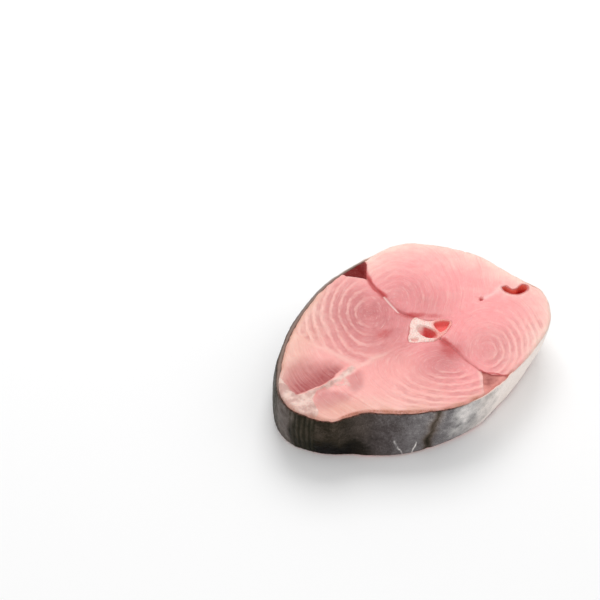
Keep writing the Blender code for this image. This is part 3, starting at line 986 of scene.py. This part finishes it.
class Tree:
    """Builds one material's nodes."""

    def __init__(self, name, roughness, specular, subsurface=0.0):
        self.material = bpy.data.materials.new(name)
        self.material.use_nodes = True
        self.nodes = self.material.node_tree.nodes
        self.links = self.material.node_tree.links
        self.shader = self.nodes["Principled BSDF"]
        self.set_shader({
            "Roughness": roughness,
            "Specular IOR Level": specular,
            "Subsurface Weight": subsurface,
            "Subsurface Radius": (1.0, 0.35, 0.25),
            "Subsurface Scale": 2 * MM,
        })

    def add(self, kind, values=(), **settings):
        """A node, its settings, and its inputs by name or number: a socket to link or a value to set."""
        node = self.nodes.new("ShaderNode" + kind)
        for key, value in settings.items():
            setattr(node, key, value)
        for key, value in dict(values).items():
            self.put(node.inputs[key], value)
        return node

    def put(self, socket, value):
        """Links the value to the socket, or sets it there; a colour needs no alpha."""
        if isinstance(value, bpy.types.NodeSocket):
            self.links.new(value, socket)
        elif socket.type == "RGBA":
            socket.default_value = (*value, 1)
        else:
            socket.default_value = value

    def set_shader(self, values):
        """Puts values on the shader's sockets, by name."""
        for name, value in values.items():
            self.put(self.shader.inputs[name], value)

    def field(self, name):
        """A number stored at the mesh's points."""
        return self.add("Attribute", attribute_name=name, attribute_type="GEOMETRY").outputs["Fac"]

    def math(self, operation, a, b=0.0, clamp=False):
        """The result of an operation on one or two numbers, kept from 0 to 1 if clamp is set."""
        return self.add("Math", {0: a, 1: b}, operation=operation, use_clamp=clamp).outputs[0]

    def times(self, a, *others):
        """The product of the numbers."""
        for other in others:
            a = self.math("MULTIPLY", a, other)
        return a

    def plus(self, a, b, clamp=False):
        """The sum of two numbers."""
        return self.math("ADD", a, b, clamp)

    def centred(self, noise, strength):
        """Noise about 0 instead of 0.5, times strength."""
        return self.times(self.math("SUBTRACT", noise, 0.5), strength)

    def noise(self, vector, scale, detail=3.0, rough=0.55):
        """Noise from 0 to 1."""
        values = {"Vector": vector, "Scale": scale, "Detail": detail, "Roughness": rough}
        return self.add("TexNoise", values).outputs["Fac"]

    def ramp(self, value, low, high, start=0.0, end=1.0):
        """From start to end as value goes from low to high, smoothly."""
        values = {"Value": value, "From Min": low, "From Max": high, "To Min": start, "To Max": end}
        return self.add("MapRange", values, interpolation_type="SMOOTHSTEP").outputs["Result"]

    def mix(self, share, a, b):
        """From colour a to colour b."""
        return self.add("Mix", {"Factor": share, 6: a, 7: b}, data_type="RGBA").outputs[2]

    def stain(self, colour, tone, name, strength=1.0):
        """The colour, stained with a tone by the strength of a field."""
        return self.mix(self.times(self.field(name), strength), colour, tone)

    def shades(self, value, stops):
        """A colour that goes through the stops as value goes from 0 to 1."""
        node = self.add("ValToRGB", {"Fac": value})
        for element, (position, colour) in zip(node.color_ramp.elements, (stops[0], stops[-1])):
            element.position = position
            element.color = (*colour, 1)
        for position, colour in stops[1:-1]:
            node.color_ramp.elements.new(position).color = (*colour, 1)
        return node.outputs["Color"]

    def place(self):
        """The point's place on the piece, in millimetres."""
        where = self.add("TexCoord").outputs["Object"]
        return self.add("VectorMath", {0: where, "Scale": 1000.0}, operation="SCALE").outputs[0]

    def vector(self, x, y, z):
        """A vector of three numbers."""
        return self.add("CombineXYZ", {"X": x, "Y": y, "Z": z}).outputs[0]

    def bump(self, height, distance, under=None):
        """Relief of that depth in metres, on top of the relief under it."""
        values = {"Strength": 1.0, "Distance": distance, "Height": height}
        if under is not None:
            values["Normal"] = under
        return self.add("Bump", values).outputs[0]

    def done(self, colour, normal, **others):
        """Joins the colour, the relief and other values to the shader."""
        self.set_shader({"Base Color": colour, "Normal": normal, **others})
        return self.material


def flesh_finish():
    """Moist pink flesh: rings, grain along them, and patches of tone."""
    t = Tree("raw_flesh", 0.40, 0.30, subsurface=0.10)
    place = t.place()
    grain_place = t.vector(*(t.times(t.field(name), scale) for name, scale in GRAIN_SCALES))
    grain = t.plus(t.times(t.centred(t.noise(grain_place, 1.0, 3.0, 0.6), 1.0), t.field("grained")), 0.5)
    cloud = t.noise(place, 0.12, 3.0, 0.6)
    speck = t.noise(place, 1.6, 2.0, 0.6)
    lump = t.noise(place, 1.0, 2.0)
    colour = t.mix(t.ramp(cloud, 0.40, 0.70, 0.0, 0.7), PINK, PINK_PALE)
    colour = t.stain(colour, SALMON, "salmon", 0.8)
    colour = t.stain(colour, MAUVE, "mauve", t.ramp(cloud, 0.3, 0.7, 0.75, 1.1))
    colour = t.stain(colour, CREAM, "cream", t.ramp(cloud, 0.2, 0.8, 0.7, 1.15))
    colour = t.stain(colour, TAN, "tan")

    turn = t.math("FRACT", t.plus(t.field("ring"), t.centred(t.noise(place, 0.35, 3.0), 0.55)))
    line = t.ramp(t.math("ABSOLUTE", t.math("SUBTRACT", turn, 0.5)), 0.24, 0.46)
    show = t.times(t.field("ring_show"), t.ramp(t.noise(place, 0.22, 2.0), 0.32, 0.60, 0.25, 1.0))
    pale = t.ramp(t.field("cream"), 0.10, 0.55, 0.50, 0.80)
    colour = t.mix(t.times(line, show, pale), colour, RING_PALE)
    shade = t.times(t.ramp(turn, 0.10, 0.35), t.ramp(turn, 0.85, 0.60), show)
    colour = t.mix(t.times(shade, 0.42), colour, MAUVE)
    colour = t.mix(t.ramp(grain, 0.52, 0.72, 0.0, 0.22), colour, CREAM)
    colour = t.mix(t.ramp(grain, 0.46, 0.30, 0.0, 0.15), colour, MAUVE)

    colour = t.stain(colour, BROWN, "brown", t.ramp(grain, 0.35, 0.65, 0.82, 1.05))
    ragged = t.plus(t.field("white"), t.centred(lump, 0.7))
    white = t.mix(t.ramp(t.noise(place, 0.28, 3.0), 0.38, 0.62), WHITE_DULL, WHITE)
    colour = t.mix(t.ramp(ragged, 0.15, 0.75, 0.0, 0.9), colour, white)
    bleed = t.plus(t.field("blood"), t.centred(speck, 0.35))
    colour = t.mix(t.ramp(bleed, 0.10, 0.95, 0.0, 0.85), colour, BLOOD)
    # Painted shade along the seams' grooves, in brown
    colour = t.stain(colour, BROWN, "seam")
    colour = t.stain(colour, SINEW, "bright")
    colour = t.stain(colour, RIM_BROWN, "rim", t.ramp(speck, 0.3, 0.6, 0.45, 0.95))
    colour = t.stain(colour, BLOOD_BRIGHT, "slit", t.ramp(speck, 0.3, 0.6, 0.75, 1.0))
    # Painted shade deep in the slit: its blood-red walls turn darker away from the cut faces
    colour = t.stain(colour, BLOOD_SHADED_DEEP, "deep", t.ramp(lump, 0.3, 0.6, 0.6, 1.0))

    relief = t.plus(t.times(grain, 0.6), t.times(t.noise(place, 2.4, 3.0), 0.4))
    normal = t.bump(relief, 0.24 * MM)
    normal = t.bump(t.times(line, show), 0.06 * MM, normal)
    return t.done(colour, normal, Roughness=t.ramp(t.noise(place, 0.5, 2.0), 0.3, 0.7, 0.32, 0.50))


def red_muscle_finish():
    """Dark moist meat with a fine grain, darkest at its border."""
    t = Tree("red_muscle_meat", 0.45, 0.06)
    grain = t.noise(t.place(), 1.3, 4.0, 0.65)
    colour = t.mix(t.ramp(t.field("dark"), 0.0, 1.0), MEAT_PALE, MEAT_DARK)
    colour = t.stain(colour, MEAT_BORDER, "border", 0.75)
    colour = t.mix(t.ramp(grain, 0.55, 0.75, 0.0, 0.22), colour, MEAT_LIGHT_GRAIN)
    colour = t.mix(t.ramp(grain, 0.45, 0.25, 0.0, 0.35), colour, MEAT_DARK_GRAIN)
    return t.done(colour, t.bump(grain, 0.3 * MM))


def bone_finish():
    """Sawn wet bone: cream white, spongy and pink in places, with blood in its hollows."""
    t = Tree("sawn_bone", 0.42, 0.30, subsurface=0.08)
    sponge = t.noise(t.place(), 1.8, 4.0, 0.65)
    colour = t.mix(t.ramp(sponge, 0.46, 0.70), BONE_WHITE, BONE_PINK)
    colour = t.stain(colour, BONE_FRINGE, "fringe", t.ramp(sponge, 0.3, 0.6, 0.7, 1.0))
    colour = t.stain(colour, BONE_HOLLOW, "deep", 0.9)
    colour = t.stain(colour, CUP_RED, "cup", t.ramp(sponge, 0.2, 0.6, 1.0, 0.8))
    colour = t.stain(colour, CANAL_RED, "canal", t.ramp(sponge, 0.3, 0.6, 1.0, 0.75))
    return t.done(colour, t.bump(sponge, 0.3 * MM))


def skin_finish():
    """Wet skin: brown-black and ribbed at the back, slate on the flank, silver and white at the belly."""
    t = Tree("fish_skin", 0.38, 0.06)
    place = t.place()
    mottle = t.noise(place, 0.9, 4.0, 0.65)
    fine = t.noise(place, 3.4, 3.0, 0.6)
    upright = t.add("VectorMath", {0: place, 1: (1.5, 1.5, 0.10)}, operation="MULTIPLY").outputs[0]
    stripes = t.noise(upright, 1.0, 3.0, 0.55)
    calm = t.ramp(t.field("tone"), 0.60, 0.85, 1.0, 0.65)
    uneven = t.plus(t.centred(mottle, 0.26), t.centred(fine, 0.40))
    tone = t.plus(t.field("tone"), t.times(uneven, calm))
    # The ribs' stripes follow their relief: lighter where it rises as painted highlight, darker where it
    # sinks as painted shade
    rib_stripes_and_shading = t.times(t.centred(stripes, 0.4), t.field("olive"))
    tone = t.plus(tone, rib_stripes_and_shading, clamp=True)
    colour = t.mix(t.field("brown"), t.shades(tone, GREY_SHADES), t.shades(tone, UMBER_SHADES))
    colour = t.stain(colour, OLIVE, "olive", 0.40)
    lip = t.mix(t.ramp(mottle, 0.35, 0.65), LIP_DARK, LIP_BROWN)
    lip = t.stain(lip, LIP_FAR, "far")
    lip = t.stain(lip, LIP_KEEL, "keel")
    colour = t.stain(colour, lip, "cut_edge")
    relief = t.plus(t.times(mottle, 0.6), t.times(fine, 0.25))
    normal = t.bump(relief, 0.35 * MM)
    normal = t.bump(t.times(stripes, t.field("olive")), 0.5 * MM, normal)
    return t.done(colour, normal, Roughness=t.ramp(mottle, 0.3, 0.7, 0.30, 0.48))


def plain_floor():
    """A plain pale floor under the steak."""
    mesh = bpy.data.meshes.new("floor")
    half = FLOOR_SIDE / 2
    corners = [(x, y, -FLOOR_LOW) for x, y in ((-half, -half), (half, -half), (half, half), (-half, half))]
    mesh.from_pydata(corners, [], [(0, 1, 2, 3)])
    tree = Tree("floor", 0.9, 0.1)
    tree.set_shader({"Base Color": FLOOR_WHITE})
    mesh.materials.append(tree.material)
    new_object("floor", mesh)


def look(thing, place, way):
    """Puts a light or camera at a place, facing that way."""
    thing.location = place
    thing.rotation_mode = "QUATERNION"
    thing.rotation_quaternion = way.to_track_quat("-Z", "Y")


def add_softbox(name, place, size, power):
    """A square area light that points at the steak."""
    light = bpy.data.lights.new(name, "AREA")
    light.shape = "SQUARE"
    light.size = size
    light.energy = power
    look(new_object(name, light), place, -Vector(place))


def studio():
    """Plain soft light from all round, with a softbox behind and one to the side."""
    world = bpy.data.worlds.new("studio")
    world.use_nodes = True
    background = world.node_tree.nodes["Background"]
    background.inputs["Color"].default_value = (1.0, 1.0, 1.0, 1)
    background.inputs["Strength"].default_value = SKY_LIGHT
    bpy.context.scene.world = world
    for softbox in SOFTBOXES:
        add_softbox(*softbox)
    view = bpy.context.scene.view_settings
    view.view_transform = "Standard"
    view.look = "None"


def camera():
    """The photograph's view."""
    c, s = math.cos(CAMERA_TURN), math.sin(CAMERA_TURN)
    right = Vector((c, -s, 0))
    back = Vector((-s * math.cos(CAMERA_TILT), -c * math.cos(CAMERA_TILT), math.sin(CAMERA_TILT)))
    up = back.cross(right)
    aim = Vector((*(np.array(AIM[:2]) + shift()), AIM[2]))
    data = bpy.data.cameras.new("camera")
    data.lens = CAMERA_LENS
    data.sensor_width = 36
    data.clip_start = 0.01
    thing = new_object("camera", data)
    place = aim - right * AIM_FROM_CAMERA[0] - up * AIM_FROM_CAMERA[1] + back * AIM_FROM_CAMERA[2]
    look(thing, place, -back)
    bpy.context.scene.camera = thing


def main():
    """The whole picture: camera, light, floor and the five pieces of the steak."""
    camera()
    studio()
    plain_floor()
    meat = red_muscle_finish()
    body = flesh_body()
    make_red_muscle(body, "red_muscle_left", RED_MUSCLE_LEFT, LEFT_LEAN, 1.0, meat)
    make_red_muscle(body, "red_muscle_right", RED_MUSCLE_RIGHT, RIGHT_LEAN, 0.3, meat)
    make_flesh(body, flesh_finish())
    make_backbone(bone_finish())
    make_skin(skin_finish())


main()
